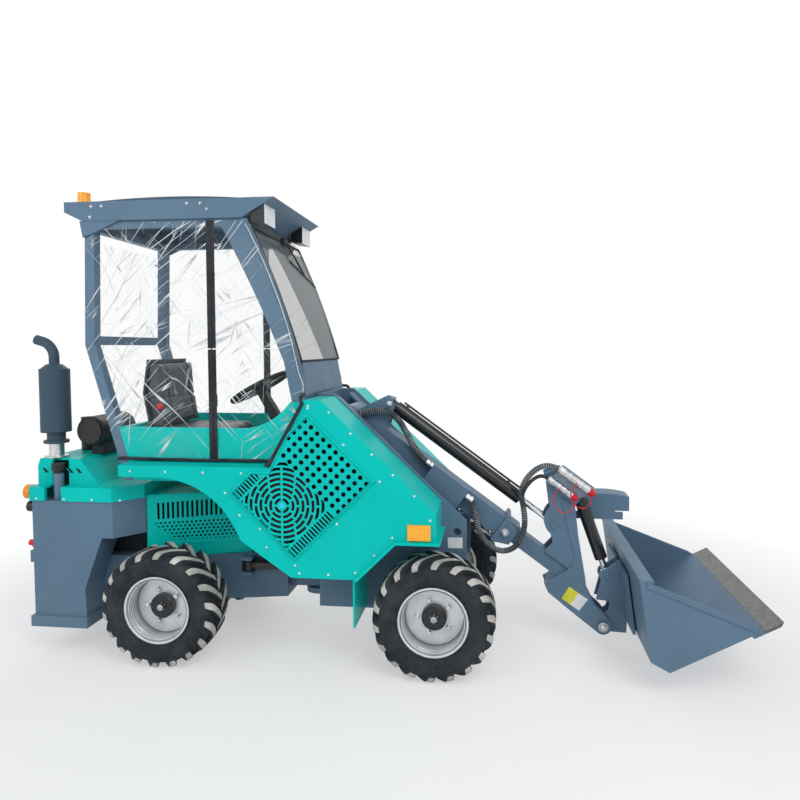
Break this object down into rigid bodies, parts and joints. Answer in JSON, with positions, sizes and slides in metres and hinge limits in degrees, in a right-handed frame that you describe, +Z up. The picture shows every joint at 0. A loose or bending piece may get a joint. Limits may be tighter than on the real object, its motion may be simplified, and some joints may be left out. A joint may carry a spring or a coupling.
{
  "type": "articulated wheel loader",
  "caption": "Compact articulated wheel loader with a telescopic boom, a straight-sided bucket and a high weather cab with clear covers.",
  "frame": {"origin": "middle of the machine's footprint on the ground, under the middle of its length", "axes": "+X forwards towards the bucket, +Y to the machine's left, +Z up"},
  "size_m": [3.69, 1.06, 2.3569],
  "materials": {
    "body_paint": "satin",
    "frame_paint": "satin",
    "rim_paint": "satin",
    "black_paint": "satin",
    "cast_drive": "matte",
    "tyre": "matte",
    "pin_steel": "satin",
    "ram_chrome": "polished",
    "pane_glass": "polished",
    "clear_cover": "polished",
    "seat_vinyl": "matte",
    "black_plastic": "matte",
    "amber_lens": "gloss",
    "lamp_lens": "gloss",
    "roof_skin": "gloss",
    "hose_rubber": "matte"
  },
  "bodies": {
    "rear_frame": {"rear_chassis": "frame_paint", "counterweight": "frame_paint", "engine_hood": "body_paint", "engine_cover": "body_paint", "engine_block": "cast_drive", "fuel_filler": "black_plastic", "muffler": "black_paint", "air_cleaner": "black_plastic", "tail_lamps": "amber_lens", "rear_fittings": "black_plastic", "tow_jaw": "black_paint", "rear_axle": "cast_drive", "engine_vents": "body_paint"},
    "front_frame": {"front_chassis": "frame_paint", "frame_pins": "pin_steel", "front_axle": "cast_drive", "front_panel_right": "body_paint", "front_panel_left": "body_paint", "mud_flaps": "body_paint", "cab_tub": "body_paint", "cab_frame": "frame_paint", "roof": "frame_paint", "roof_dome": "roof_skin", "windscreen": "pane_glass", "cab_covers": "clear_cover", "seat": "seat_vinyl", "steering_column": "black_plastic", "control_console": "black_plastic", "work_lamps": "lamp_lens", "side_lamps": "amber_lens", "beacon": "amber_lens", "oil_cooler": "black_plastic", "grilles": "body_paint"},
    "wheel_front_left": {"tyre_front_left": "tyre", "rim_front_left": "rim_paint"},
    "wheel_front_right": {"tyre_front_right": "tyre", "rim_front_right": "rim_paint"},
    "wheel_rear_left": {"tyre_rear_left": "tyre", "rim_rear_left": "rim_paint"},
    "wheel_rear_right": {"tyre_rear_right": "tyre", "rim_rear_right": "rim_paint"},
    "boom": {"outer_boom": "frame_paint", "hose_guard": "black_plastic", "telescope_barrel": "black_paint", "boom_hose": "hose_rubber"},
    "boom_extension": {"inner_boom": "frame_paint", "telescope_rod": "ram_chrome", "hydraulic_couplers": "pin_steel", "coupler_box": "frame_paint", "coupler_hose": "hose_rubber"},
    "bucket_carrier": {"quick_coupler": "frame_paint", "bucket": "frame_paint"},
    "lift_cylinder": {"lift_barrel": "black_paint"},
    "lift_ram": {"lift_rod": "ram_chrome"},
    "tilt_cylinder": {"tilt_barrel": "black_paint"},
    "tilt_ram": {"tilt_rod": "ram_chrome"},
    "steering_cylinder": {"steer_barrel": "black_paint"},
    "steering_ram": {"steer_rod": "ram_chrome"}
  },
  "joints": [
    {"name": "articulation", "type": "hinge", "parent": "rear_frame", "child": "front_frame", "pos_m": [-0.36697, 0, 0.37], "axis": [0, 0, 1], "range_deg": [-35, 35]},
    {"name": "wheel_front_left_spin", "type": "hinge", "parent": "front_frame", "child": "wheel_front_left", "pos_m": [0.30903, 0.415, 0.292], "axis": [0, 1, 0], "continuous": true},
    {"name": "wheel_front_right_spin", "type": "hinge", "parent": "front_frame", "child": "wheel_front_right", "pos_m": [0.30903, -0.415, 0.292], "axis": [0, 1, 0], "continuous": true},
    {"name": "wheel_rear_left_spin", "type": "hinge", "parent": "rear_frame", "child": "wheel_rear_left", "pos_m": [-1.04297, 0.415, 0.292], "axis": [0, 1, 0], "continuous": true},
    {"name": "wheel_rear_right_spin", "type": "hinge", "parent": "rear_frame", "child": "wheel_rear_right", "pos_m": [-1.04297, -0.415, 0.292], "axis": [0, 1, 0], "continuous": true},
    {"name": "boom_lift", "type": "hinge", "parent": "front_frame", "child": "boom", "pos_m": [-0.17697, 0, 1.215], "axis": [0, -1, 0], "range_deg": [-3, 68]},
    {"name": "boom_telescope", "type": "slide", "parent": "boom", "child": "boom_extension", "axis": [0.809, 0, -0.5878], "range_m": [0, 0.45]},
    {"name": "bucket_tilt", "type": "hinge", "parent": "boom_extension", "child": "bucket_carrier", "pos_m": [1.15282, 0, 0.11906], "axis": [0, 1, 0], "range_deg": [-6, 70]},
    {"name": "lift_cylinder_swing", "type": "hinge", "parent": "front_frame", "child": "lift_cylinder", "pos_m": [-0.19197, 0, 0.45], "axis": [0, -1, 0], "range_deg": [-4.84, 0.21]},
    {"name": "lift_cylinder_stroke", "type": "slide", "parent": "lift_cylinder", "child": "lift_ram", "axis": [0.2858, 0, 0.9583], "range_m": [-0.014, 0.2951]},
    {"name": "tilt_cylinder_swing", "type": "hinge", "parent": "boom_extension", "child": "tilt_cylinder", "pos_m": [1.01499, 0, 0.83105], "axis": [0, 1, 0], "range_deg": [-14.71, 1.26]},
    {"name": "tilt_cylinder_stroke", "type": "slide", "parent": "tilt_cylinder", "child": "tilt_ram", "axis": [0.3362, 0, -0.9418], "range_m": [-0.0229, 0.2571]},
    {"name": "steering_cylinder_swing", "type": "hinge", "parent": "rear_frame", "child": "steering_cylinder", "pos_m": [-0.70697, -0.185, 0.42], "axis": [0, 0, 1], "range_deg": [-1.16, 1.16]},
    {"name": "steering_cylinder_stroke", "type": "slide", "parent": "steering_cylinder", "child": "steering_ram", "axis": [0.984, 0.1781, 0], "range_m": [-0.0705, 0.0705]}
  ],
  "couplings": [
    {"joint": "lift_cylinder_swing", "follows": "boom_lift", "ratio": -0.0711},
    {"joint": "lift_cylinder_stroke", "follows": "boom_lift", "m_per_rad": 0.2478},
    {"joint": "tilt_cylinder_swing", "follows": "bucket_tilt", "ratio": -0.2102},
    {"joint": "tilt_cylinder_stroke", "follows": "bucket_tilt", "m_per_rad": 0.2096},
    {"joint": "steering_cylinder_swing", "follows": "articulation", "ratio": -0.033},
    {"joint": "steering_cylinder_stroke", "follows": "articulation", "m_per_rad": 0.1138}
  ]
}
